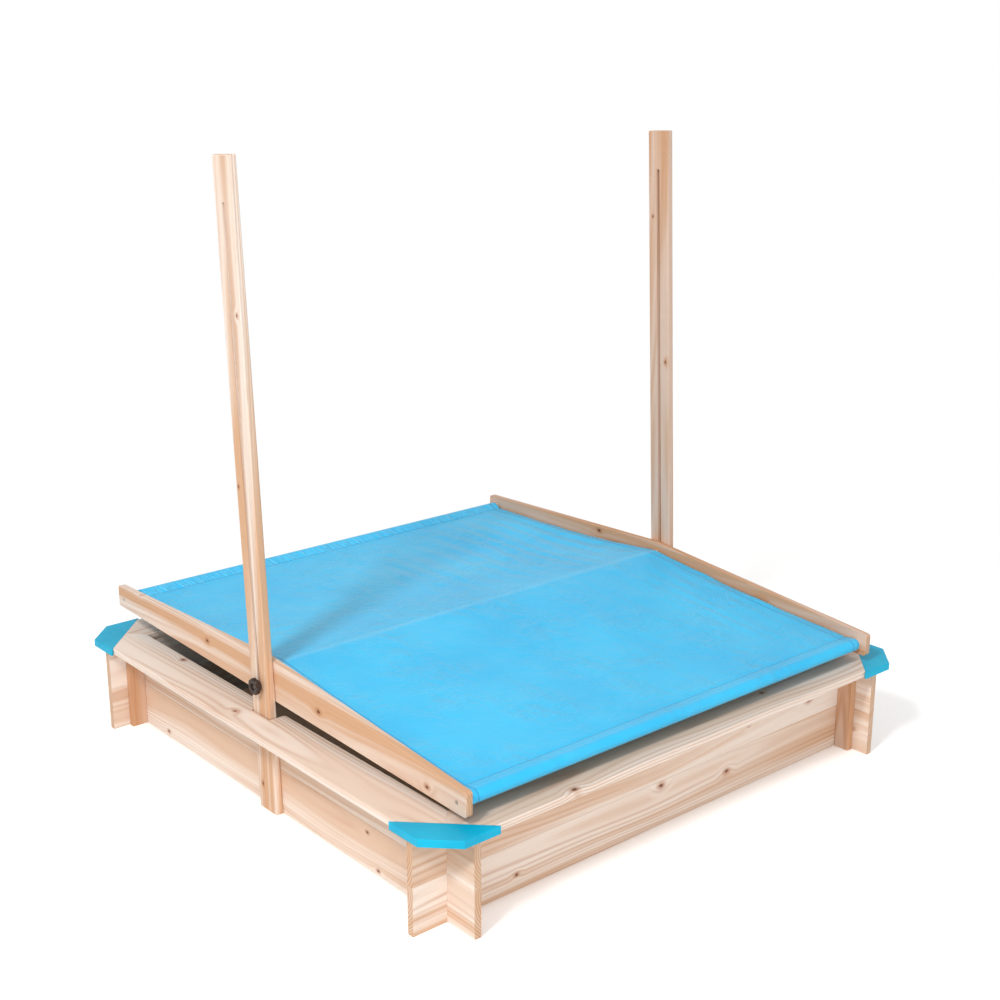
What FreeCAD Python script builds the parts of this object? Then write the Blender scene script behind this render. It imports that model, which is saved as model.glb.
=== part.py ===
import FreeCAD, Part
import math
import os

# Ground-standing square wooden sandbox with four seat boards, blue corner plates
# and a cloth roof that slides up and down two slotted posts and tilts on bolts.
# Millimetres, +Z up. Origin on the ground at the middle of the sandbox.
# The posts stand at the left (-X) and right (+X) sides, the front is -Y.

Vec = FreeCAD.Vector

# Sandbox walls
side_spacing = 1040.0        # outer face to outer face of opposite walls
board_thick = 14.0
board_height = 89.0          # two boards are stacked in each wall
board_easing = 1.5           # rounding of the long edges
halving_play = 0.2           # play on each side of a halving joint
end_setback = 4.0            # board ends stop this far short of the seat edge

# Corner battens
batten_depth = 34.0
batten_thick = 14.5

# Seat boards and corner plates
seat_width = 91.0
seat_thick = 14.0
seat_lip = 3.0               # seat edge inside the wall's inner face
seat_easing = 3.0
seat_joint_gap = 0.4
plate_proud = 6.0            # plate edge outside the seat edge
plate_reach = 130.0          # cut back of the corner along each side
plate_nose = 53.0            # cut back of the plate's own tip
plate_easing = 1.5

# Posts
post_width = 56.0
post_thick = 16.0
post_height = 1200.0
post_easing = 3.0
post_lean = 2.7              # degrees, tops towards the rear
post_notch_play = 3.0        # around the post in the seat board
slot_top_wood = 79.0         # wood left above the slot

# Pivot bolts and knobs
bolt_dia = 8.0
bolt_head_dia = 18.0
bolt_head_height = 4.0
slot_play = 0.3
turning_play = 0.05          # radial play of the bolt in the rail and in the knob
knob_dia = 32.0
knob_disc = 9.0
knob_boss = 5.0
knob_lobes = 7

# Roof
rail_thick = 14.0
rail_end_height = 45.0
rail_mid_height = 79.0
rail_setback = 22.0          # rail ends inside the line of the plates
rail_corner = 6.0
rail_easing = 1.5
rail_post_gap = 0.5
bar_dia = 22.0
bar_end_margin = 24.0        # bar centre from the rail end
bar_edge_margin = 9.0        # wood of the rail under the front and rear bars
cloth_thick = 1.0
cloth_gap = 0.3              # around the bars
cloth_side_gap = 4.0         # from the cloth edge to the rail
ridge_cloth_drop = 16.0      # cloth below the rail's peak
roof_height = 30.0           # rail above the seat at the posts, roof lowered
roof_tilt = 1.5              # degrees, front end lower
head_bar_gap = 2.7           # between bolt head and ridge bar

# Screws that hold the bars between the rails
screw_dia = 4.0
screw_head_dia = 8.0
screw_head_height = 3.0
screw_length = 42.0
screw_recess = 0.2

# Sizes that follow
wall_out = side_spacing / 2.0
wall_in = wall_out - board_thick
wall_mid = wall_out - board_thick / 2.0
wall_height = 2.0 * board_height
seat_top = wall_height + seat_thick
seat_in = wall_in - seat_lip
seat_out = seat_in + seat_width
plate_out = seat_out + plate_proud
board_half = seat_out - end_setback
corner_line = 2.0 * plate_out - plate_reach
post_out = wall_out + post_thick
bolt_rad = bolt_dia / 2.0
head_rad = bolt_head_dia / 2.0
slot_half = bolt_rad + slot_play
rail_out = wall_out - rail_post_gap
rail_in = rail_out - rail_thick
rail_half = plate_out - rail_setback
bar_rad = bar_dia / 2.0
bar_y = rail_half - bar_end_margin
hem_in = bar_rad + cloth_gap
hem_out = hem_in + cloth_thick
bar_z = bar_edge_margin + bar_rad
ridge_z = rail_mid_height - ridge_cloth_drop - hem_out
pivot_in_rail = ridge_z - bar_rad - head_bar_gap - head_rad
lean = math.radians(post_lean)
lean_from_z = wall_height / 2.0
pivot_z = seat_top + roof_height + pivot_in_rail
pivot_y = (pivot_z - lean_from_z) * math.tan(lean)
slot_low = lean_from_z + (pivot_z - lean_from_z) / math.cos(lean)
slot_high = post_height - slot_top_wood - slot_half
cloth_half = rail_in - cloth_side_gap

nodes = {}


def block(x0, x1, y0, y1, z0, z1):
    return Part.makeBox(x1 - x0, y1 - y0, z1 - z0, Vec(x0, y0, z0))


def rod_x(radius, x0, x1, y, z):
    return Part.makeCylinder(radius, x1 - x0, Vec(x0, y, z), Vec(1, 0, 0))


def mirror_x(shape):
    return shape.mirror(Vec(0, 0, 0), Vec(1, 0, 0))


def mirror_y(shape):
    return shape.mirror(Vec(0, 0, 0), Vec(0, 1, 0))


def quarter_turn(shape, count):
    turned = shape.copy()
    turned.rotate(Vec(0, 0, 0), Vec(0, 0, 1), 90.0 * count)
    return turned


def prism_up(points, z0, z1):
    corners = [Vec(x, y, z0) for x, y in points]
    wire = Part.makePolygon(corners + [corners[0]])
    return Part.Face(wire).extrude(Vec(0, 0, z1 - z0))


def along(edge, axis):
    ends = [v.Point for v in edge.Vertexes]
    if len(ends) != 2:
        return False
    step = ends[1] - ends[0]
    return abs(abs(step.dot(axis)) - step.Length) < 1e-6


def ease(shape, radius, wanted):
    edges = [e for e in shape.Edges if wanted(e)]
    return shape.makeFillet(radius, edges)


# Wall boards: halved into each other where they cross, ends standing past the corner
def wall_board(z0, cut_from_top):
    board = block(-wall_out, -wall_in, -board_half, board_half, z0, z0 + board_height)
    board = ease(board, board_easing, lambda e: along(e, Vec(0, 1, 0)))
    half = z0 + board_height / 2.0
    low = half - halving_play if cut_from_top else z0 - 1.0
    high = z0 + board_height + 1.0 if cut_from_top else half + halving_play
    for side in (-1.0, 1.0):
        y0 = side * wall_mid - board_thick / 2.0 - halving_play
        y1 = side * wall_mid + board_thick / 2.0 + halving_play
        board = board.cut(block(-wall_out - 1.0, -wall_in + 1.0, y0, y1, low, high))
    return board


for level, name in enumerate(("lower", "upper")):
    side_board = wall_board(level * board_height, True)
    end_board = quarter_turn(wall_board(level * board_height, False), 1)
    nodes["left_wall_" + name] = side_board
    nodes["right_wall_" + name] = mirror_x(side_board)
    nodes["front_wall_" + name] = end_board
    nodes["rear_wall_" + name] = mirror_y(end_board)


# Corner battens: upright, on a wall's outer face in the corner of the crossing wall
batten = block(-wall_out - batten_depth, -wall_out, -wall_in, -wall_in + batten_thick,
               0.0, wall_height)
batten = ease(batten, board_easing, lambda e: along(e, Vec(0, 0, 1)))
cross_batten = block(-wall_in, -wall_in + batten_thick, -wall_out - batten_depth,
                     -wall_out, 0.0, wall_height)
cross_batten = ease(cross_batten, board_easing, lambda e: along(e, Vec(0, 0, 1)))
nodes["batten_left_front"] = batten
nodes["batten_left_rear"] = mirror_y(batten)
nodes["batten_right_front"] = mirror_x(batten)
nodes["batten_right_rear"] = mirror_y(mirror_x(batten))
nodes["batten_front_left"] = cross_batten
nodes["batten_front_right"] = mirror_x(cross_batten)
nodes["batten_rear_left"] = mirror_y(cross_batten)
nodes["batten_rear_right"] = mirror_y(mirror_x(cross_batten))


# Seat boards: mitred to each other, corners cut off at 45 degrees for the plates
def seat_board():
    cut = corner_line - seat_joint_gap
    inner = seat_in - seat_joint_gap / 2.0
    tip_x = (cut - seat_joint_gap / 2.0) / 2.0
    tip_y = (cut + seat_joint_gap / 2.0) / 2.0
    outer = cut - seat_out
    half = [(inner, -seat_in), (tip_x, -tip_y), (outer, -seat_out)]
    points = half + [(-x, y) for x, y in reversed(half)]
    board = prism_up(points, wall_height, seat_top)
    return ease(board, seat_easing, lambda e: along(e, Vec(1, 0, 0)))


seat = seat_board()
side_seat = quarter_turn(seat, 3)
notch_half = post_width / 2.0 + post_notch_play
notch_y = (wall_height + seat_thick / 2.0 - lean_from_z) * math.tan(lean)
side_seat = side_seat.cut(block(-post_out - post_notch_play, -seat_in + 1.0,
                                notch_y - notch_half, notch_y + notch_half,
                                wall_height - 1.0, seat_top + 1.0))
nodes["seat_front"] = seat
nodes["seat_rear"] = mirror_y(seat)
nodes["seat_left"] = side_seat
nodes["seat_right"] = mirror_x(side_seat)


# Corner plates: blue trapezoids level with the seat
def corner_plate():
    inner = corner_line - plate_out
    tip = plate_out - plate_nose
    points = [(-plate_out, -inner), (-plate_out, -tip), (-tip, -plate_out),
              (-inner, -plate_out)]
    plate = prism_up(points, wall_height, seat_top)
    return ease(plate, plate_easing, lambda e: abs(e.BoundBox.ZMax - seat_top) < 1e-6)


plate = corner_plate()
nodes["plate_left_front"] = plate
nodes["plate_right_front"] = mirror_x(plate)
nodes["plate_left_rear"] = mirror_y(plate)
nodes["plate_right_rear"] = mirror_y(mirror_x(plate))


# Posts: on the outer face of the side walls, with a long slot for the bolt.
# They lean back about the middle of the wall, and are cut level at the ground.
post = block(-post_out, -wall_out, -post_width / 2.0, post_width / 2.0,
             -post_width, post_height)
post = ease(post, post_easing, lambda e: e.BoundBox.ZMax > 0.0)
slot = block(-post_out - 1.0, -wall_out + 1.0, -slot_half, slot_half, slot_low, slot_high)
for end_z in (slot_low, slot_high):
    slot = slot.fuse(rod_x(slot_half, -post_out - 1.0, -wall_out + 1.0, 0.0, end_z))
post = post.cut(slot.removeSplitter())
post.rotate(Vec(0, 0, lean_from_z), Vec(1, 0, 0), -post_lean)
post = post.cut(block(-post_out - 1.0, -wall_out + 1.0, -seat_out, seat_out,
                      -2.0 * post_width, 0.0))
nodes["post_left"] = post
nodes["post_right"] = mirror_x(post)


# Roof pieces are made level, with the rails' lower edge at height zero,
# and then set to the resting tilt about the pivot bolts
def set_roof(shape):
    placed = shape.copy()
    placed.translate(Vec(0, pivot_y, pivot_z - pivot_in_rail))
    placed.rotate(Vec(0, pivot_y, pivot_z), Vec(1, 0, 0), roof_tilt)
    return placed


def end_screw(y, z):
    head_x = -rail_out + screw_recess
    shank = rod_x(screw_dia / 2.0, head_x, head_x + screw_length, y, z)
    head = Part.makeCone(screw_head_dia / 2.0, screw_dia / 2.0, screw_head_height,
                         Vec(head_x, y, z), Vec(1, 0, 0))
    point = Part.makeCone(screw_dia / 2.0, 0.0, screw_dia,
                          Vec(head_x + screw_length, y, z), Vec(1, 0, 0))
    return shank.fuse(head).fuse(point).removeSplitter()


def screw_hole(y, z):
    play = turning_play
    hole = rod_x(screw_dia / 2.0 + play, -rail_out - 1.0,
                 -rail_out + screw_recess + screw_length, y, z)
    point = Part.makeCone(screw_dia / 2.0 + play, 0.0, screw_dia + play,
                          Vec(-rail_out + screw_recess + screw_length, y, z), Vec(1, 0, 0))
    sink = Part.makeCone(screw_head_dia / 2.0 + play, screw_dia / 2.0 + play,
                         screw_head_height, Vec(-rail_out + screw_recess, y, z),
                         Vec(1, 0, 0))
    mouth = rod_x(screw_head_dia / 2.0 + play, -rail_out - 1.0,
                  -rail_out + screw_recess, y, z)
    return hole.fuse(point).fuse(sink).fuse(mouth)


bar_places = [("front_bar", -bar_y, bar_z), ("rear_bar", bar_y, bar_z),
              ("ridge_bar", 0.0, ridge_z)]

outline = [(-rail_half, 0.0), (rail_half, 0.0), (rail_half, rail_end_height),
           (0.0, rail_mid_height), (-rail_half, rail_end_height)]
corners = [Vec(-rail_out, y, z) for y, z in outline]
rail = Part.Face(Part.makePolygon(corners + [corners[0]])).extrude(Vec(rail_thick, 0, 0))
rail = ease(rail, rail_corner,
            lambda e: along(e, Vec(1, 0, 0)) and abs(e.BoundBox.YMin) > 1.0)
rail = ease(rail, rail_easing, lambda e: e.BoundBox.XLength < 1e-6)
rail = rail.cut(rod_x(bolt_rad + turning_play, -rail_out - 1.0, -rail_in + 1.0, 0.0,
                      pivot_in_rail))
for name, y, z in bar_places:
    rail = rail.cut(screw_hole(y, z))
nodes["roof_rail_left"] = set_roof(rail)
nodes["roof_rail_right"] = set_roof(mirror_x(rail))

screws = []
for name, y, z in bar_places:
    bar = rod_x(bar_rad, -rail_in, rail_in, y, z)
    bar = bar.cut(screw_hole(y, z)).cut(mirror_x(screw_hole(y, z)))
    nodes[name] = set_roof(bar)
    screws.append(set_roof(end_screw(y, z)))
    screws.append(set_roof(mirror_x(end_screw(y, z))))
nodes["bar_screws"] = Part.makeCompound(screws)


# Cloth: laid over the ridge bar, a sewn tunnel round the front and rear bars
def cloth_slope():
    slope = math.atan2(ridge_z - bar_z, bar_y)
    up_y = -math.sin(slope)
    up_z = math.cos(slope)
    ends = [(-bar_y, bar_z), (0.0, ridge_z)]
    low = [Vec(-cloth_half, y + up_y * hem_in, z + up_z * hem_in) for y, z in ends]
    high = [Vec(-cloth_half, y + up_y * hem_out, z + up_z * hem_out) for y, z in ends]
    loop = [low[0], low[1], high[1], high[0], low[0]]
    strip = Part.Face(Part.makePolygon(loop)).extrude(Vec(2.0 * cloth_half, 0, 0))
    return strip, math.degrees(slope)


def cloth_tube(y, z):
    tube = rod_x(hem_out, -cloth_half, cloth_half, y, z)
    return tube.cut(rod_x(hem_in, -cloth_half - 1.0, cloth_half + 1.0, y, z))


strip, slope_angle = cloth_slope()
over_ridge = cloth_tube(0.0, ridge_z)
reach = 3.0 * hem_out
spread = reach * math.tan(math.radians(slope_angle))
wedge_points = [(0.0, ridge_z), (spread, ridge_z + reach), (-spread, ridge_z + reach)]
wedge_corners = [Vec(-cloth_half - 1.0, y, z) for y, z in wedge_points]
wedge = Part.Face(Part.makePolygon(wedge_corners + [wedge_corners[0]]))
wedge = wedge.extrude(Vec(2.0 * cloth_half + 2.0, 0, 0))
cloth = over_ridge.common(wedge).fuse(strip).fuse(mirror_y(strip))
cloth = cloth.fuse(cloth_tube(-bar_y, bar_z)).fuse(cloth_tube(bar_y, bar_z))
nodes["roof_cloth"] = set_roof(cloth.removeSplitter())


# Pivot bolts: domed head inside the rail, shank out through rail, slot and knob
def pivot_bolt():
    head_x = -rail_in + slot_play
    end_x = -post_out - slot_play - knob_boss - knob_disc + 4.0
    shank = rod_x(bolt_rad, end_x, head_x, pivot_y, pivot_z)
    dome_rad = (head_rad ** 2 + bolt_head_height ** 2) / (2.0 * bolt_head_height)
    ball_x = head_x + bolt_head_height - dome_rad
    ball = Part.makeSphere(dome_rad, Vec(ball_x, pivot_y, pivot_z))
    keep = rod_x(head_rad + 1.0, head_x, head_x + bolt_head_height + 1.0, pivot_y, pivot_z)
    return shank.fuse(ball.common(keep)).removeSplitter()


bolt = pivot_bolt()
nodes["pivot_bolts"] = Part.makeCompound([bolt, mirror_x(bolt)])


# Clamping knobs: scalloped disc with a boss towards the post and a sunk centre
def clamp_knob():
    near = -post_out - slot_play
    front = near - knob_boss - knob_disc
    knob_rad = knob_dia / 2.0
    disc = rod_x(knob_rad, front, near - knob_boss, pivot_y, pivot_z)
    disc = ease(disc, knob_disc / 4.0, lambda e: len(e.Vertexes) == 1)
    for lobe in range(knob_lobes):
        turn = 2.0 * math.pi * lobe / knob_lobes
        y = pivot_y + 1.12 * knob_rad * math.cos(turn)
        z = pivot_z + 1.12 * knob_rad * math.sin(turn)
        disc = disc.cut(rod_x(0.3 * knob_rad, front - 1.0, near - knob_boss + 1.0, y, z))
    boss = rod_x(0.55 * knob_rad, near - knob_boss - 1.0, near, pivot_y, pivot_z)
    bore = rod_x(bolt_rad + turning_play, front - 1.0, near + 1.0, pivot_y, pivot_z)
    recess = rod_x(0.45 * knob_rad, front - 1.0, front + knob_disc / 3.0, pivot_y, pivot_z)
    return disc.fuse(boss).cut(bore).cut(recess)


knob = clamp_knob()
nodes["knob_left"] = knob
nodes["knob_right"] = mirror_x(knob)

os.makedirs("parts", exist_ok=True)
for name in sorted(nodes):
    nodes[name].exportStep("parts/" + name + ".step")
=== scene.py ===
"""Looks of a wooden sandbox with a lowering cloth roof, built round its CAD frame. Metres."""

import math

import bpy
import numpy as np
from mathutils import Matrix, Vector


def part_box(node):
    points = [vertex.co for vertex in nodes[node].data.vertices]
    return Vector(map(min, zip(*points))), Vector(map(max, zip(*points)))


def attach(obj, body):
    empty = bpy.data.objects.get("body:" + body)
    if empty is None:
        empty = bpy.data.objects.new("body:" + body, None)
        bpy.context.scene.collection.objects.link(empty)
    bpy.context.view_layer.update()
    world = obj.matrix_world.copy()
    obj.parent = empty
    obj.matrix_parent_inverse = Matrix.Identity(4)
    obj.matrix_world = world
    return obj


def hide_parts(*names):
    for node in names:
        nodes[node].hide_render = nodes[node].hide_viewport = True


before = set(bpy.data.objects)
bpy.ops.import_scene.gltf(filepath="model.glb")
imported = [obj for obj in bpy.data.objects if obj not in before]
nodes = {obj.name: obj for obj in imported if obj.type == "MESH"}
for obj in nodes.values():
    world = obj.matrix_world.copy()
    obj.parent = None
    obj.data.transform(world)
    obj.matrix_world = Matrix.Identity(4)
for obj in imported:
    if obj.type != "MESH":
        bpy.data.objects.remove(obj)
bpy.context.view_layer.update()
rng = np.random.default_rng(41)


# ---------------------------------------------------------------- shader building
class Shader:
    """A material's node tree, with short calls for the nodes used here."""

    def __init__(self, name):
        self.material = bpy.data.materials.new(name)
        self.material.use_nodes = True
        self.tree = self.material.node_tree
        self.surface = self.tree.nodes["Principled BSDF"]

    def node(self, kind, **settings):
        made = self.tree.nodes.new("ShaderNode" + kind)
        for key, value in settings.items():
            setattr(made, key, value)
        return made

    def feed(self, value, socket):
        if isinstance(value, bpy.types.NodeSocket):
            self.tree.links.new(value, socket)
        elif value is not None:
            socket.default_value = value

    def math(self, operation, a, b=None):
        made = self.node("Math", operation=operation)
        self.feed(a, made.inputs[0])
        self.feed(b, made.inputs[1])
        return made.outputs[0]

    def vector(self, operation, a, b=None):
        made = self.node("VectorMath", operation=operation)
        self.feed(a, made.inputs[0])
        self.feed(b, made.inputs[1])
        return made.outputs["Value" if operation == "LENGTH" else "Vector"]

    def join(self, x, y, z):
        made = self.node("CombineXYZ")
        for value, socket in zip((x, y, z), made.inputs):
            self.feed(value, socket)
        return made.outputs[0]

    def noise(self, vector, scale, detail=3.0, rough=0.5):
        made = self.node("TexNoise")
        self.feed(vector, made.inputs["Vector"])
        made.inputs["Scale"].default_value = scale
        made.inputs["Detail"].default_value = detail
        made.inputs["Roughness"].default_value = rough
        return made.outputs["Fac"]

    def ramp(self, value, stops):
        made = self.node("ValToRGB")
        self.feed(value, made.inputs[0])
        line = made.color_ramp.elements
        while len(line) < len(stops):
            line.new(0.5)
        for element, (place, colour) in zip(line, stops):
            element.position = place
            grey = isinstance(colour, (int, float))
            element.color = (colour, colour, colour, 1) if grey else (*colour, 1)
        return made.outputs[0]

    def remap(self, value, low, high, to_low=0.0, to_high=1.0, smooth=True):
        made = self.node("MapRange")
        made.interpolation_type = "SMOOTHSTEP" if smooth else "LINEAR"
        self.feed(value, made.inputs["Value"])
        for name, number in (("From Min", low), ("From Max", high),
                             ("To Min", to_low), ("To Max", to_high)):
            made.inputs[name].default_value = number
        return made.outputs[0]

    def mix(self, share, a, b):
        made = self.node("Mix", data_type="RGBA")
        self.feed(share, made.inputs[0])
        for value, socket in ((a, made.inputs[6]), (b, made.inputs[7])):
            self.feed(value if isinstance(value, bpy.types.NodeSocket) else (*value, 1), socket)
        return made.outputs[2]

    def bump(self, height, strength, distance):
        made = self.node("Bump")
        made.inputs["Strength"].default_value = strength
        made.inputs["Distance"].default_value = distance
        self.feed(height, made.inputs["Height"])
        return made.outputs[0]

    def finish(self, colour, roughness, normal=None, **constants):
        self.feed(colour, self.surface.inputs["Base Color"])
        self.feed(roughness, self.surface.inputs["Roughness"])
        if normal is not None:
            self.feed(normal, self.surface.inputs["Normal"])
        for name, value in constants.items():
            self.surface.inputs[name.replace("_", " ")].default_value = value
        return self.material


def srgb(red, green, blue):
    """A colour as seen on a screen, 0 to 255, turned into light."""
    return tuple(((c / 255 + 0.055) / 1.055) ** 2.4 for c in (red, green, blue))


# ---------------------------------------------------------------- wood
PALE = srgb(240, 226, 214)
CREAM = srgb(225, 199, 178)
TAN = srgb(212, 169, 134)
LATE = srgb(186, 130, 91)
KNOT = srgb(98, 56, 38)
KNOT_RIM = srgb(178, 116, 78)
END_PALE = srgb(212, 174, 140)
END_DARK = srgb(176, 124, 86)
RING_WIDTH = 0.0050                       # one year's growth
FIBRE_RELIEF = 0.0006


def wood(name, grain, knots, warmth):
    """Planed fir cut from a log of its own: rings, bands, fibres, knots and end grain.

    grain names the axes along the grain, across the face and through the board.
    knots are (along, across, radius) in metres. warmth is 0 for pale wood, 1 for orange,
    and up to 1.5 for the darkest heartwood.
    """
    s = Shader(name)
    place = s.node("TexCoord")
    split = s.node("SeparateXYZ")
    s.feed(place.outputs["Object"], split.inputs[0])
    axes = ["XYZ".index(axis) for axis in grain]
    along, across, deep = (split.outputs[axis] for axis in axes)
    shift = Vector(rng.uniform(-9.0, 9.0, 3))

    def stretched(length_rate, face_rate):
        return s.vector("ADD", s.join(s.math("MULTIPLY", along, length_rate),
                                      s.math("MULTIPLY", across, face_rate),
                                      s.math("MULTIPLY", deep, face_rate)), tuple(shift))

    # Distance from the log's heart, wandering along the board and pushed aside by knots
    low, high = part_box(name)
    mid = [(low[axis] + high[axis]) / 2 for axis in axes]
    heart_across = mid[1] + float(rng.uniform(-0.03, 0.03))
    heart_deep = mid[2] + float(rng.uniform(0.045, 0.08) * rng.choice((-1, 1)))
    heart = s.join(0.0, s.math("SUBTRACT", across, heart_across),
                   s.math("SUBTRACT", deep, heart_deep))
    wander = s.math("MULTIPLY", s.noise(stretched(0.9, 5.0), 1.0, 2.0), 0.055)
    rings = s.math("ADD", s.vector("LENGTH", heart), wander)
    knot_core, knot_rim = None, None
    for knot_along, knot_across, radius in knots:
        away = s.join(s.math("MULTIPLY", s.math("SUBTRACT", along, knot_along), 0.7),
                      s.math("SUBTRACT", across, knot_across), 0.0)
        reach = s.math("DIVIDE", s.vector("LENGTH", away), radius)
        ragged = s.math("ADD", reach, s.math("MULTIPLY", s.noise(stretched(90, 160), 1.0), 0.9))
        rings = s.math("ADD", rings, s.remap(reach, 0.4, 5.5, radius * 1.0, 0.0))
        core = s.remap(ragged, 0.75, 1.45, 1.0, 0.0)
        rim = s.remap(ragged, 1.0, 3.0, 1.0, 0.0)
        knot_core = core if knot_core is None else s.math("MAXIMUM", knot_core, core)
        knot_rim = rim if knot_rim is None else s.math("MAXIMUM", knot_rim, rim)

    # Broad bands that follow the rings, the rings' own dark lines, and fine fibres
    band_place = s.join(s.math("MULTIPLY", rings, 62.0), s.math("MULTIPLY", along, 0.7),
                        float(shift.x))
    band = s.noise(band_place, 1.0, 3.0, 0.55)
    year = s.math("FRACT", s.math("DIVIDE", rings, RING_WIDTH))
    late = s.ramp(year, ((0.0, 0.3), (0.2, 0.0), (0.5, 0.12), (0.84, 1.0), (1.0, 0.35)))
    fibre = s.noise(stretched(9.0, 520.0), 1.0, 3.0, 0.65)
    figure = s.remap(s.noise(stretched(1.3, 14.0), 1.0, 2.0), 0.38, 0.66, 0.06, 0.55)
    tone = s.remap(band, 0.36, 0.64, 0.0, 1.0)
    tone = s.math("MULTIPLY", tone, 0.3 + 0.8 * warmth)
    colour = s.ramp(tone, ((0.0, PALE), (0.45, CREAM), (1.0, TAN)))
    colour = s.mix(max(0.0, warmth - 1.0), colour, LATE)
    colour = s.mix(s.math("MULTIPLY", late, figure), colour, LATE)
    colour = s.mix(s.remap(fibre, 0.48, 0.80, 0.0, 0.12 + 0.35 * warmth), colour, TAN)
    if knot_core is not None:
        colour = s.mix(s.math("MULTIPLY", knot_rim, 0.65), colour, KNOT_RIM)
        colour = s.mix(s.math("MULTIPLY", knot_core, 0.92), colour, KNOT)
    facing = s.node("SeparateXYZ")
    s.feed(place.outputs["Normal"], facing.inputs[0])
    end = s.remap(s.math("ABSOLUTE", facing.outputs[axes[0]]), 0.6, 0.9)
    end_rings = s.mix(late, END_PALE, END_DARK)
    colour = s.mix(s.math("MULTIPLY", end, 0.7), colour, end_rings)
    height = s.math("ADD", s.math("MULTIPLY", fibre, 0.8), s.math("MULTIPLY", late, -0.4))
    normal = s.bump(height, 0.3, FIBRE_RELIEF)
    roughness = s.remap(fibre, 0.2, 0.8, 0.50, 0.70, smooth=False)
    return s.finish(colour, roughness, normal, IOR=1.45, Specular_IOR_Level=0.3)


def dress(name, material):
    """Gives a CAD node its material in every slot."""
    data = nodes[name].data
    data.materials.clear()
    data.materials.append(material)
    for face in data.polygons:
        face.material_index = 0


# Knots on the boards: (along, across, radius), along and across from the frame's origin
KNOTS = {
    "left_wall_upper": [(0.26, 0.150, 0.0055), (-0.30, 0.135, 0.0030), (0.43, 0.160, 0.0035)],
    "left_wall_lower": [(0.02, 0.079, 0.0035), (-0.30, 0.072, 0.0030), (0.40, 0.012, 0.0035),
                        (-0.33, 0.010, 0.0030)],
    "front_wall_upper": [(-0.25, 0.155, 0.0050), (0.22, 0.128, 0.0035), (0.40, 0.128, 0.0055)],
    "front_wall_lower": [(-0.02, 0.080, 0.0050), (0.16, 0.050, 0.0045), (-0.37, 0.030, 0.003)],
    "rear_wall_upper": [(-0.31, 0.130, 0.0055), (0.27, 0.150, 0.0040)],
    "rear_wall_lower": [(0.05, 0.050, 0.0050), (0.44, 0.030, 0.0035)],
    "right_wall_upper": [(-0.20, 0.125, 0.0055), (0.33, 0.140, 0.0040)],
    "right_wall_lower": [(0.16, 0.040, 0.0045), (-0.36, 0.060, 0.0040), (-0.55, 0.045, 0.004)],
    "seat_left": [(0.05, -0.565, 0.0035), (0.33, -0.515, 0.0045)],
    "seat_right": [(0.18, 0.550, 0.0050)],
    "seat_front": [(-0.30, -0.585, 0.0050), (0.24, -0.530, 0.0030)],
    "seat_rear": [(-0.27, 0.550, 0.0045)],
    "post_left": [(0.62, 0.045, 0.0028), (0.93, 0.022, 0.0025), (0.05, 0.010, 0.0030)],
    "post_right": [(0.71, 0.010, 0.0030), (1.02, 0.060, 0.0025)],
    "roof_rail_left": [(0.49, 0.290, 0.0035), (0.22, 0.268, 0.0040), (-0.16, 0.250, 0.0045),
                       (-0.47, 0.225, 0.0040)],
    "roof_rail_right": [(0.19, 0.285, 0.0045), (-0.30, 0.245, 0.0045)],
}
# How each kind of board is cut: the start of its name, its axes along the grain, across the
# face and through the board, and its warmth
GRAINS = [
    ("left_wall", "YZX", 0.42),
    ("right_wall", "YZX", 0.45),
    ("front_wall", "XZY", 0.6),
    ("rear_wall", "XZY", 0.5),
    ("seat_left", "YXZ", 0.08),
    ("seat_right", "YXZ", 0.1),
    ("seat_front", "XYZ", 0.15),
    ("seat_rear", "XYZ", 0.1),
    ("batten_left", "ZXY", 1.35),
    ("batten_right", "ZXY", 1.3),
    ("batten_front", "ZYX", 1.2),
    ("batten_rear", "ZYX", 1.2),
    ("post_left", "ZYX", 1.05),
    ("post_right", "ZYX", 1.35),
    ("roof_rail_left", "YZX", 1.0),
    ("roof_rail_right", "YZX", 1.35),
    ("front_bar", "XYZ", 0.5),
    ("rear_bar", "XYZ", 0.5),
    ("ridge_bar", "XYZ", 0.5),
]
for start, grain, warmth in GRAINS:
    for name in sorted(n for n in nodes if n.startswith(start)):
        own = warmth * float(rng.uniform(0.8, 1.15))
        dress(name, wood(name, grain, KNOTS.get(name, ()), own))


# ---------------------------------------------------------------- paint, metal, plastic
def paint():
    s = Shader("turquoise_paint")
    place = s.node("TexCoord").outputs["Object"]
    brush = s.noise(place, 90.0, 4.0, 0.6)
    cloud = s.noise(place, 14.0, 2.0)
    colour = s.mix(s.remap(cloud, 0.3, 0.7), srgb(0, 169, 207), srgb(4, 181, 217))
    fine = s.noise(place, 420.0, 2.0)
    height = s.math("ADD", brush, s.math("MULTIPLY", fine, 0.3))
    return s.finish(colour, s.remap(brush, 0.3, 0.7, 0.34, 0.46),
                    s.bump(height, 0.15, 0.0004), IOR=1.48, Specular_IOR_Level=0.3)


def zinc():
    s = Shader("zinc_plate")
    place = s.node("TexCoord").outputs["Object"]
    cloud = s.noise(place, 260.0, 3.0)
    colour = s.mix(cloud, srgb(176, 174, 166), srgb(206, 204, 198))
    return s.finish(colour, s.remap(cloud, 0.3, 0.7, 0.28, 0.42),
                    s.bump(cloud, 0.1, 0.0002), Metallic=1.0)


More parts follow.
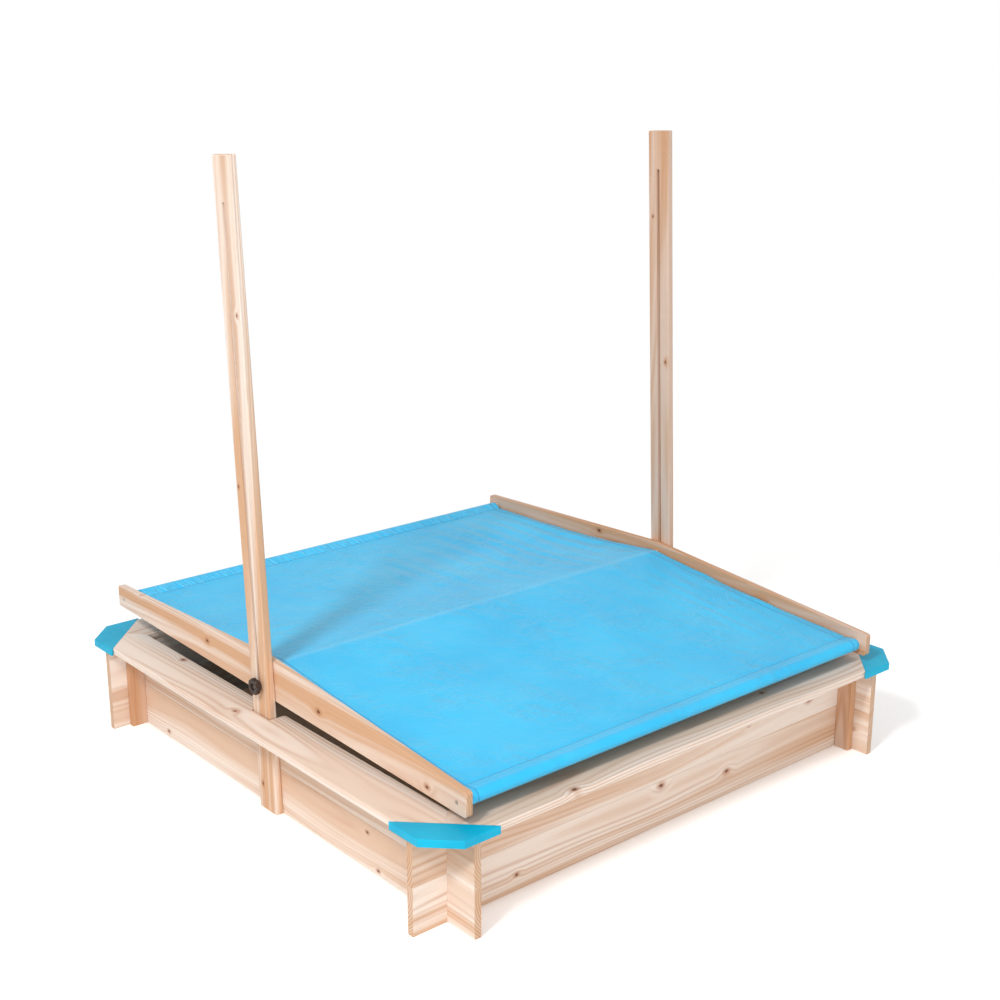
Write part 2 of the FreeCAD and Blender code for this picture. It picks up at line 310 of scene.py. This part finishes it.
def moulded_plastic():
    s = Shader("knob_plastic")
    place = s.node("TexCoord").outputs["Object"]
    grit = s.noise(place, 900.0, 2.0)
    cloud = s.noise(place, 60.0, 2.0)
    colour = s.mix(cloud, srgb(44, 31, 26), srgb(64, 47, 40))
    return s.finish(colour, s.remap(grit, 0.3, 0.7, 0.38, 0.55),
                    s.bump(grit, 0.2, 0.0003), IOR=1.5)


turquoise = paint()
for name in (n for n in nodes if n.startswith("plate")):
    dress(name, turquoise)
metal = zinc()
for name in ("bar_screws", "pivot_bolts"):
    dress(name, metal)
plastic = moulded_plastic()
for name in ("knob_left", "knob_right"):
    dress(name, plastic)


# ---------------------------------------------------------------- cloth
THREADS = 260.0                           # thread bands to the metre
SIDE_HEM = 0.018                          # stitch row to the cloth's side edge
STITCH = 0.004                            # one stitch and its gap
# Colour of the painted highlight on the rear hem's puckers
GLINT = srgb(160, 226, 252)
STITCH_BLUE = srgb(38, 140, 200)
# Heights in the material, on top of the folds that the mesh has
FOLD_RELIEF = 0.0026
CRUMPLE_RELIEF = 0.0029
GATHER_RELIEF = 0.0013
SEAM_DIP = -0.0006
GRIT_RELIEF = 0.00012
WEAVE_RELIEF = 0.00002


def woven_polyester():
    """Coated polyester: plain weave, crumpled patches, stitched seams, a soft shine, and painted
    highlights on the crumples, the ridge and the rear hem's puckers.
    """
    s = Shader("blue_polyester")
    place = s.node("TexCoord")
    uv = place.outputs["UV"]
    split = s.node("SeparateXYZ")
    s.feed(uv, split.inputs[0])
    thread = s.node("TexWave", wave_type="BANDS", bands_direction="X")
    s.feed(uv, thread.inputs["Vector"])
    thread.inputs["Scale"].default_value = THREADS
    weft = s.node("TexWave", wave_type="BANDS", bands_direction="Y")
    s.feed(uv, weft.inputs["Vector"])
    weft.inputs["Scale"].default_value = THREADS
    weave = s.math("MULTIPLY", thread.outputs["Fac"], weft.outputs["Fac"])
    cloud = s.noise(place.outputs["Object"], 5.0, 3.0)
    colour = s.mix(s.remap(cloud, 0.3, 0.7), srgb(40, 189, 241), srgb(54, 199, 247))
    colour = s.mix(s.math("MULTIPLY", weave, 0.25), colour, srgb(30, 176, 232))
    # Soft, crumpled patches left by folding: their relief is in the bump, and a painted
    # highlight lightens the cloth on them
    crumple = s.remap(s.noise(uv, 24.0, 5.0, 0.62), 0.34, 0.66, smooth=False)
    patch = s.remap(s.noise(uv, 7.0, 1.0), 0.40, 0.62, 0.25, 1.0)
    crumple = s.math("MULTIPLY", crumple, patch)
    # Painted highlight: the crumples are painted a lighter blue
    colour = s.mix(s.math("MULTIPLY", crumple, 0.10), colour, srgb(150, 222, 252))
    # Painted highlight along the ridge: a narrow band over the ridge bar is painted lighter
    ridge = s.math("ABSOLUTE", s.math("SUBTRACT", split.outputs[1], RIDGE_ARC))
    colour = s.mix(s.remap(ridge, 0.0, 0.012, 0.12, 0.0), colour, srgb(190, 232, 252))
    # Pull folds that run from hem to hem, sharpest on the rear slope by the right rail
    streak = s.join(s.math("MULTIPLY", split.outputs[0], 62.0),
                    s.math("MULTIPLY", split.outputs[1], 2.2), 0.0)
    streak = s.noise(s.vector("ADD", streak, s.join(s.noise(uv, 3.0, 1.0), 0.0, 0.0)), 1.0, 2.0)
    to_right = s.remap(split.outputs[0], 0.35 * SHEET_WIDTH, 0.85 * SHEET_WIDTH, 0.22, 1.0)
    on_rear = s.remap(split.outputs[1], RIDGE_ARC, RIDGE_ARC + 0.06, 0.42, 1.0)
    folds = s.math("MULTIPLY", s.math("MULTIPLY", streak, to_right), on_rear)
    # The rear hem is drawn into small puckers: their relief is in the bump, and GLINT paints a
    # highlight on them
    gather = s.join(s.math("ADD", s.math("MULTIPLY", split.outputs[0], 150.0),
                           s.math("MULTIPLY", split.outputs[1], 90.0)),
                    s.math("MULTIPLY", split.outputs[1], 12.0), 0.0)
    in_hem = s.math("SUBTRACT", split.outputs[1], REAR_SEAM_ARC)
    in_hem = s.math("MULTIPLY", s.remap(in_hem, -0.012, 0.002),
                    s.remap(in_hem, 0.012, 0.030, 1.0, 0.0))
    gather = s.math("MULTIPLY", s.remap(s.noise(gather, 1.0, 2.0), 0.35, 0.65), in_hem)
    # Painted highlight on the puckers
    colour = s.mix(s.math("MULTIPLY", gather, 0.22), colour, GLINT)
    # Rows of stitches beside the seams, and the folded hems down both sides
    side = s.math("MINIMUM", split.outputs[0],
                  s.math("SUBTRACT", SHEET_WIDTH, split.outputs[0]))
    side_row = s.remap(s.math("ABSOLUTE", s.math("SUBTRACT", side, SIDE_HEM)),
                       0.0008, 0.0022, 1.0, 0.0)
    colour = s.mix(s.math("MULTIPLY", side_row, 0.5), colour, srgb(20, 120, 190))
    seam_front = s.math("ABSOLUTE", s.math("SUBTRACT", split.outputs[1], FRONT_SEAM_ARC))
    seam_rear = s.math("ABSOLUTE", s.math("SUBTRACT", split.outputs[1], REAR_SEAM_ARC))
    seam = s.math("MINIMUM", seam_front, seam_rear)
    row = s.remap(seam, 0.0006, 0.0016, 1.0, 0.0)
    gap = s.math("FRACT", s.math("DIVIDE", split.outputs[0], STITCH))
    stitch = s.math("MULTIPLY", row, s.remap(gap, 0.25, 0.4))
    colour = s.mix(s.math("MULTIPLY", stitch, 0.6), colour, STITCH_BLUE)
    fine = s.noise(uv, 130.0, 3.0)
    height = s.math("MULTIPLY", folds, FOLD_RELIEF)
    for part, relief in ((crumple, CRUMPLE_RELIEF), (side_row, SEAM_DIP),
                         (gather, GATHER_RELIEF), (fine, GRIT_RELIEF),
                         (weave, WEAVE_RELIEF), (row, SEAM_DIP)):
        height = s.math("ADD", height, s.math("MULTIPLY", part, relief))
    return s.finish(colour, s.remap(fine, 0.3, 0.7, 0.34, 0.44), s.bump(height, 1.0, 1.0),
                    IOR=1.5, Specular_IOR_Level=0.45, Sheen_Weight=0.22,
                    Sheen_Roughness=0.35)


front_low, front_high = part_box("front_bar")
rear_low, rear_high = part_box("rear_bar")
ridge_low, ridge_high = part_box("ridge_bar")
cloth_low, cloth_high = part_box("roof_cloth")
BAR_RADIUS = (front_high.z - front_low.z) / 2
CLOTH_THICK = 0.0008
WRAP = BAR_RADIUS + 0.0006                # radius of the cloth's inner face on a bar
FINE_STEP = 0.0035                        # mesh spacing along the cloth at the hems
STEP = 0.008                              # and on the slopes
COLUMN = 0.004                            # and across the cloth
SAG_REAR = 0.009
SAG_FRONT = 0.005


def middle(low, high):
    return np.array([(low.y + high.y) / 2, (low.z + high.z) / 2])


front_mid = middle(front_low, front_high)
rear_mid = middle(rear_low, rear_high)
ridge_mid = middle(ridge_low, ridge_high)


def tunnel(bar, inward, leave, seam_out, seam_up):
    """The loop of cloth round a bar: from its seam up over the bar and back underneath.

    leave is the angle, above the way inward, where the cloth meets the bar. The seam lies
    seam_out from the bar's middle and seam_up above it.
    """
    side = np.array([-inward[1], inward[0]])
    if side[1] < 0:
        side = -side
    turn = np.radians(np.linspace(leave, 305.0, 40))
    round_bar = [bar + WRAP * (math.cos(t) * inward + math.sin(t) * side) for t in turn]
    seam = bar + inward * seam_out + side * seam_up
    under = seam - side * 2 * CLOTH_THICK
    rise = [seam + (round_bar[0] - seam) * t for t in np.linspace(0.0, 0.9, 5)]
    back = [round_bar[-1] + (under - round_bar[-1]) * t for t in np.linspace(0.1, 1.0, 8)]
    return np.array(rise + round_bar + back)


def arc_length(path):
    return np.concatenate([[0.0], np.cumsum(np.linalg.norm(np.diff(path, axis=0), axis=1))])


def cloth_path():
    """The cloth in section from its front seam, under and over, to its rear seam.

    Gives the points, and how far along the cloth lie the front seam, ridge and rear seam.
    """
    to_ridge = ridge_mid - front_mid
    to_ridge = to_ridge / np.linalg.norm(to_ridge)
    to_ridge_rear = ridge_mid - rear_mid
    to_ridge_rear = to_ridge_rear / np.linalg.norm(to_ridge_rear)
    front = tunnel(front_mid, to_ridge, 58.0, WRAP + 0.012, 0.0070)[::-1]
    rear = tunnel(rear_mid, to_ridge_rear, 32.0, WRAP + 0.009, 0.0010)
    up_front = np.array([-to_ridge[1], to_ridge[0]])
    up_rear = np.array([to_ridge_rear[1], -to_ridge_rear[0]])
    over = [ridge_mid + WRAP * (up_front * (1 - t) + up_rear * t)
            / np.linalg.norm(up_front * (1 - t) + up_rear * t)
            for t in np.linspace(0.0, 1.0, 5)]
    slope_front = [front[-1] + (over[0] - front[-1]) * t for t in np.linspace(0.02, 0.98, 60)]
    slope_rear = [over[-1] + (rear[0] - over[-1]) * t for t in np.linspace(0.02, 0.98, 60)]
    rough = np.concatenate([front, slope_front, over, slope_rear, rear])
    at = arc_length(rough)
    front_seam = at[len(front) - 1]
    ridge = at[len(front) + len(slope_front) + 2]
    rear_seam = at[len(rough) - len(rear)]
    want = [0.0]
    while want[-1] < at[-1] - FINE_STEP:
        near = want[-1] < front_seam + 0.03 or want[-1] > rear_seam - 0.04
        want.append(want[-1] + (FINE_STEP if near else STEP))
    want[-1] = at[-1]
    path = np.stack([np.interp(want, at, rough[:, i]) for i in (0, 1)], 1)
    return path, np.array(want), front_seam, ridge, rear_seam


SHEET_WIDTH = cloth_high.x - cloth_low.x
PATH, ARC, FRONT_SEAM_ARC, RIDGE_ARC, REAR_SEAM_ARC = cloth_path()


WAVES = 7


def smooth_noise(u, v, seed):
    """Gentle two-way noise in -1..1 from a few seeded waves."""
    draw = np.random.default_rng(seed)
    total = np.zeros(np.broadcast(u, v).shape)
    for _ in range(WAVES):
        angle = draw.uniform(0, 2 * math.pi)
        rate = draw.uniform(0.6, 1.6) * 2 * math.pi
        phase = draw.uniform(0, 2 * math.pi)
        total += np.sin(rate * (u * math.cos(angle) + v * math.sin(angle)) + phase)
    return total / (0.6 * WAVES)


def bell(x, centre, width):
    return np.exp(-((x - centre) / width) ** 2)


def slope_arches(arc):
    """For the front and the rear slope: 0 at the seam and the ridge, 1 in the middle."""
    on_front = (arc > FRONT_SEAM_ARC) & (arc < RIDGE_ARC)
    on_rear = (arc >= RIDGE_ARC) & (arc < REAR_SEAM_ARC)
    run_front = (arc - FRONT_SEAM_ARC) / (RIDGE_ARC - FRONT_SEAM_ARC)
    run_rear = (REAR_SEAM_ARC - arc) / (REAR_SEAM_ARC - RIDGE_ARC)
    front_arch = np.where(on_front, np.sin(math.pi * np.clip(run_front, 0, 1)), 0.0)
    rear_arch = np.where(on_rear, np.sin(math.pi * np.clip(run_rear, 0, 1)), 0.0)
    return front_arch, rear_arch


def sag_and_folds(x, y, front_arch, rear_arch):
    """How far the slopes stand off the straight path between the bars."""
    arch = front_arch + rear_arch
    edge = np.abs(x) / (SHEET_WIDTH / 2)
    lift = -SAG_REAR * rear_arch * (1 - 0.35 * edge ** 4)
    lift = lift - SAG_FRONT * front_arch * (1 - 0.45 * edge ** 4)
    lift = lift + 0.0022 * arch * smooth_noise(x * 2.6, y * 3.4, 3)
    lift = lift + 0.0009 * arch * smooth_noise(x * 9.0, y * 11.0, 4)
    # Pull folds that run from hem to hem, broad and fine, strongest by the right-hand rail
    wander = 0.014 * smooth_noise(x * 1.5, y * 2.2, 5) + 0.004 * smooth_noise(x * 5, y * 2, 15)
    broad = np.sin(2 * math.pi * (x + 2 * wander) / 0.047)
    lift = lift + 0.0018 * rear_arch * broad * np.clip((x + 0.15) / 0.4, 0, 1)
    lift = lift + 0.0009 * front_arch * broad * np.clip((x - 0.22) / 0.25, 0, 1)
    fine_folds = smooth_noise(x * 36.0 + 14.0 * wander, y * 1.5, 21)
    to_right = np.clip((x + 0.15) / 0.5, 0.15, 1.0)
    return lift + 0.0008 * (rear_arch + 0.65 * front_arch) * to_right * fine_folds


def hem_puckers(x, y, arc):
    """Puckers across the rear hem, slight ones on the front hem, and the sunken seams."""
    leaning = x + 0.45 * (arc - REAR_SEAM_ARC) + 0.012 * smooth_noise(x * 4, y * 0 + 1, 7)
    pucker = np.sin(2 * math.pi * leaning / 0.031) + 0.7 * np.sin(2 * math.pi * leaning / 0.0175)
    pucker = pucker * (0.6 + 0.4 * smooth_noise(x * 7, y * 0 + 2, 8))
    lift = 0.0014 * bell(arc, REAR_SEAM_ARC + 0.009, 0.007) * (pucker + 0.6)
    lift = lift + 0.0005 * bell(arc, REAR_SEAM_ARC - 0.018, 0.014) * pucker
    lift = lift + 0.0002 * bell(arc, FRONT_SEAM_ARC, 0.014) * pucker
    # The seams draw the cloth down where it is stitched to itself
    lift = lift - 0.0012 * bell(arc, REAR_SEAM_ARC, 0.0050)
    return lift - 0.0012 * bell(arc, FRONT_SEAM_ARC, 0.0060)


def roof_sheet():
    path = PATH
    half = SHEET_WIDTH / 2
    columns = int(round(SHEET_WIDTH / COLUMN)) + 1
    xs = np.linspace(-half, half, columns)
    tangent = np.gradient(path, axis=0)
    tangent /= np.linalg.norm(tangent, axis=1)[:, None]
    normal = np.stack([-tangent[:, 1], tangent[:, 0]], 1)
    y, z, arc = path[:, 0][:, None], path[:, 1][:, None], ARC[:, None]
    x = xs[None, :]
    front_arch, rear_arch = slope_arches(arc)
    arch = front_arch + rear_arch
    lift = sag_and_folds(x, y, front_arch, rear_arch) + hem_puckers(x, y, arc)
    px = x + np.zeros_like(lift)
    py = y + normal[:, 0][:, None] * lift
    pz = z + normal[:, 1][:, None] * lift
    # The free side edges draw in a little between the bars
    px = px * (1 - 0.008 * arch * (0.7 + 0.3 * smooth_noise(y * 3.0, x * 0, 9)))
    rows = len(path)
    verts = np.stack([px, py, pz], 2).reshape(-1, 3)
    faces = [(r * columns + c, r * columns + c + 1, (r + 1) * columns + c + 1,
              (r + 1) * columns + c) for r in range(rows - 1) for c in range(columns - 1)]
    mesh = bpy.data.meshes.new("roof_sheet")
    mesh.from_pydata(verts.tolist(), [], faces)
    length = float(ARC[-1])
    layer = mesh.uv_layers.new(name="cut")
    corner = np.zeros(len(mesh.loops), dtype=np.int32)
    mesh.loops.foreach_get("vertex_index", corner)
    u = (corner % columns) / (columns - 1) * 2 * half
    v = ARC[corner // columns]
    layer.data.foreach_set("uv", np.stack([u, v], 1).ravel())
    sheet = bpy.data.objects.new("roof_sheet", mesh)
    bpy.context.scene.collection.objects.link(sheet)
    thick = sheet.modifiers.new("thickness", "SOLIDIFY")
    thick.thickness = CLOTH_THICK
    thick.offset = 1.0
    mesh.materials.append(woven_polyester())
    for face in mesh.polygons:
        face.use_smooth = True
    return sheet, length


sheet, sheet_length = roof_sheet()
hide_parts("roof_cloth")
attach(sheet, "roof")


# ---------------------------------------------------------------- floor, light, camera
FLOOR_RADIUS = 2.2
# Painted warm shade for the ground inside the box
SHADED_GROUND = srgb(208, 186, 162)
BOX_INSIDE = 0.50                         # from the middle to where the walls stand
BOX_WALL = 0.03                           # the ground changes to paper across this
FADE = (0.95, 1.7)                        # the paper runs out between these radii
BOX_GLOW = 0.10
PAPER_GLOW = 0.28


def disc(name, material):
    bpy.ops.mesh.primitive_circle_add(vertices=96, radius=FLOOR_RADIUS, fill_type="NGON")
    made = bpy.context.object
    made.name = name
    made.data.materials.append(material)
    return made


def from_middle(s, place):
    """How far a point is from the middle, the greater of its two ways across the floor."""
    split = s.node("SeparateXYZ")
    s.feed(place, split.inputs[0])
    return s.math("MAXIMUM", s.math("ABSOLUTE", split.outputs[0]),
                  s.math("ABSOLUTE", split.outputs[1]))


def floor():
    """Pale paper under the sandbox that runs out into the white room.

    The paper the camera sees is lit up evenly. A plainer one just under it, which the
    camera doesn't see, sends light back up on to the walls.
    """
    s = Shader("pale_floor")
    place = s.node("TexCoord").outputs["Object"]
    aside = from_middle(s, place)
    outdoors = s.remap(aside, BOX_INSIDE, BOX_INSIDE + BOX_WALL)
    paper = s.mix(s.noise(place, 2.0, 2.0), srgb(247, 245, 244), srgb(251, 250, 249))
    # Inside the box the ground is painted a warm beige: painted shade and warm bounce from the
    # boards round it
    s.finish(s.mix(outdoors, SHADED_GROUND, paper), 0.85, Specular_IOR_Level=0.1)
    s.feed(s.mix(outdoors, LATE, srgb(255, 255, 255)), s.surface.inputs["Emission Color"])
    # The whole ground in the box has a faint warm glow of its own, which is staging and not
    # light that reaches it, so that it still shows through the gaps beside the lowered roof
    glow = s.remap(aside, BOX_INSIDE, BOX_INSIDE + 2 * BOX_WALL, BOX_GLOW, PAPER_GLOW)
    s.feed(glow, s.surface.inputs["Emission Strength"])
    clear = s.node("BsdfTransparent")
    blend = s.node("MixShader")
    s.feed(s.remap(s.vector("LENGTH", place), *FADE), blend.inputs[0])
    s.tree.links.new(s.surface.outputs[0], blend.inputs[1])
    s.tree.links.new(clear.outputs[0], blend.inputs[2])
    s.feed(blend.outputs[0], s.tree.nodes["Material Output"].inputs["Surface"])
    seen = disc("floor", s.material)
    seen.visible_diffuse = False
    seen.visible_glossy = False
    seen.visible_shadow = False

    t = Shader("floor_bounce")
    aside = from_middle(t, t.node("TexCoord").outputs["Object"])
    outdoors = t.remap(aside, BOX_INSIDE, BOX_INSIDE + BOX_WALL)
    # Inside the box this paper also has the painted warm shade
    t.finish(t.mix(outdoors, SHADED_GROUND, srgb(244, 243, 242)), 0.9)
    unseen = disc("floor_bounce", t.material)
    unseen.location.z = -0.002
    unseen.visible_camera = False


def backdrop():
    """A white room that only the camera sees, so the background stays plain from any side."""
    s = Shader("white_room")
    glow = s.node("Emission")
    glow.inputs["Strength"].default_value = 1.0
    s.feed(glow.outputs[0], s.tree.nodes["Material Output"].inputs["Surface"])
    bpy.ops.mesh.primitive_uv_sphere_add(radius=28.0, location=(0, 0, 0))
    room = bpy.context.object
    room.name = "white_room"
    room.data.materials.append(s.material)
    room.visible_diffuse = False
    room.visible_glossy = False
    room.visible_shadow = False


def area_light(name, azimuth, elevation, distance, size, power):
    """A soft panel aimed at the sandbox. Azimuth 0 is behind a viewer who looks along +Y."""
    a, e = math.radians(azimuth), math.radians(elevation)
    back = Vector((math.sin(a) * math.cos(e), -math.cos(a) * math.cos(e), math.sin(e)))
    data = bpy.data.lights.new(name, "AREA")
    data.shape = "SQUARE"
    data.size = size
    data.energy = power
    lamp = bpy.data.objects.new(name, data)
    lamp.location = Vector((0, 0, 0.3)) + back * distance
    lamp.rotation_mode = "QUATERNION"
    lamp.rotation_quaternion = (-back).to_track_quat("-Z", "Y")
    bpy.context.scene.collection.objects.link(lamp)


WORLD_LIGHT = 0.63
# Name, azimuth, elevation, distance, size and watts
LAMPS = [
    ("key", -67, 44, 5.0, 0.7, 118),
    ("front", -28, 9, 6.0, 2.4, 80),
    ("back", 138, 22, 6.0, 3.0, 7),
]


def studio():
    world = bpy.data.worlds.new("studio")
    bpy.context.scene.world = world
    world.use_nodes = True
    world.node_tree.nodes["Background"].inputs["Color"].default_value = (1, 1, 1, 1)
    world.node_tree.nodes["Background"].inputs["Strength"].default_value = WORLD_LIGHT
    for lamp in LAMPS:
        area_light(*lamp)


CAMERA_AZIMUTH = -40.56
CAMERA_ELEVATION = 16.71
CAMERA_DISTANCE = 3.775
CAMERA_TARGET = Vector((0.4576, 0.4899, 0.300))
CAMERA_LENS = 55.4


def camera():
    a, e = math.radians(CAMERA_AZIMUTH), math.radians(CAMERA_ELEVATION)
    back = Vector((math.sin(a) * math.cos(e), -math.cos(a) * math.cos(e), math.sin(e)))
    data = bpy.data.cameras.new("camera")
    data.lens = CAMERA_LENS
    data.sensor_width = 36.0
    data.clip_end = 100.0
    made = bpy.data.objects.new("camera", data)
    made.location = CAMERA_TARGET + back * CAMERA_DISTANCE
    made.rotation_mode = "QUATERNION"
    made.rotation_quaternion = (-back).to_track_quat("-Z", "Y")
    bpy.context.scene.collection.objects.link(made)
    bpy.context.scene.camera = made


floor()
backdrop()
studio()
camera()
bpy.context.scene.view_settings.view_transform = "Standard"
